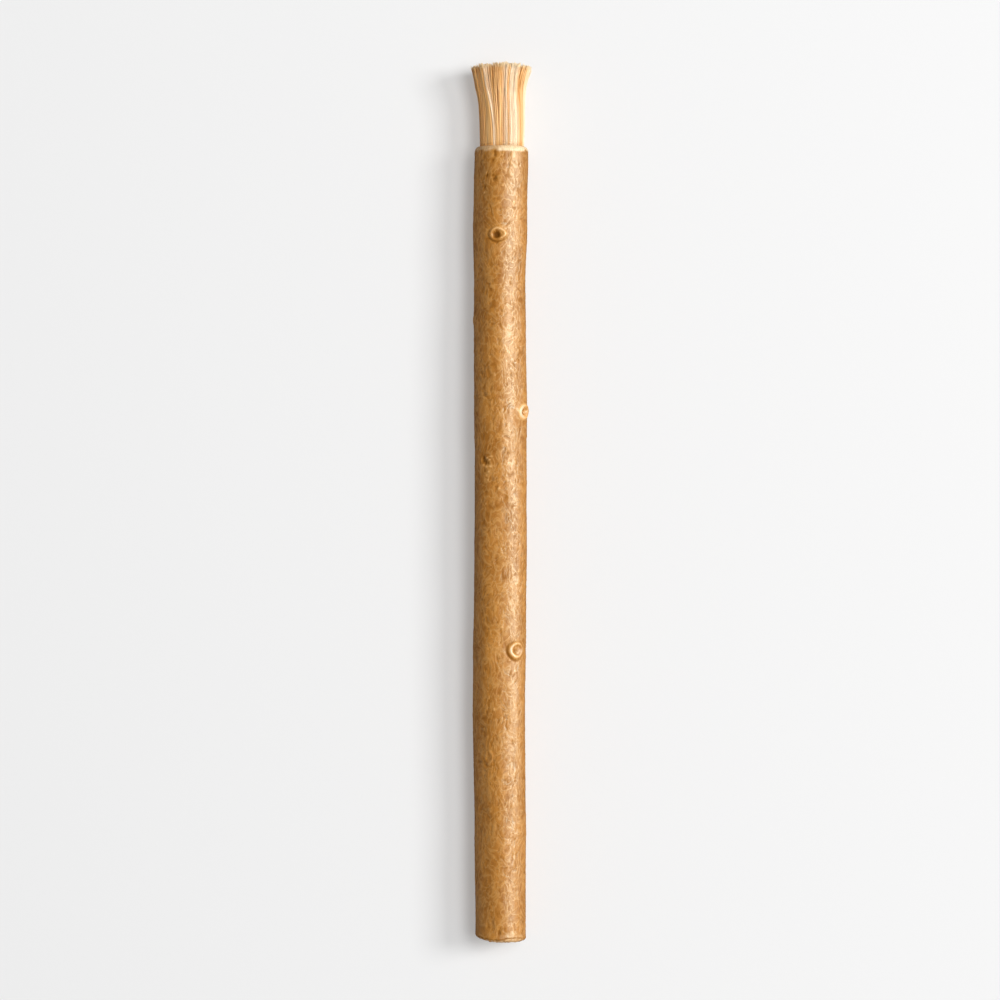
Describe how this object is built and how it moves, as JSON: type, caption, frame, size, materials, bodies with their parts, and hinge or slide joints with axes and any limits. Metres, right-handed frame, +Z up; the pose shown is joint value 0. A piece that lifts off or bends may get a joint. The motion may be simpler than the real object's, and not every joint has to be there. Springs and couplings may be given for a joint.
{
  "type": "miswak stick",
  "caption": "Straight bark-covered twig, pared at one end and frayed there into a short flared brush of fibres for cleaning teeth.",
  "frame": {"origin": "on the plane that the stick lies on, under the middle of its length", "axes": "+Y along the stick towards the tips of the brush, +Z up from the plane that it lies on"},
  "size_m": [0.0108, 0.1499, 0.0099],
  "materials": {
    "bark": "matte",
    "fibre": "matte"
  },
  "bodies": {
    "root": {"miswak_stick": "bark"}
  },
  "joints": []
}
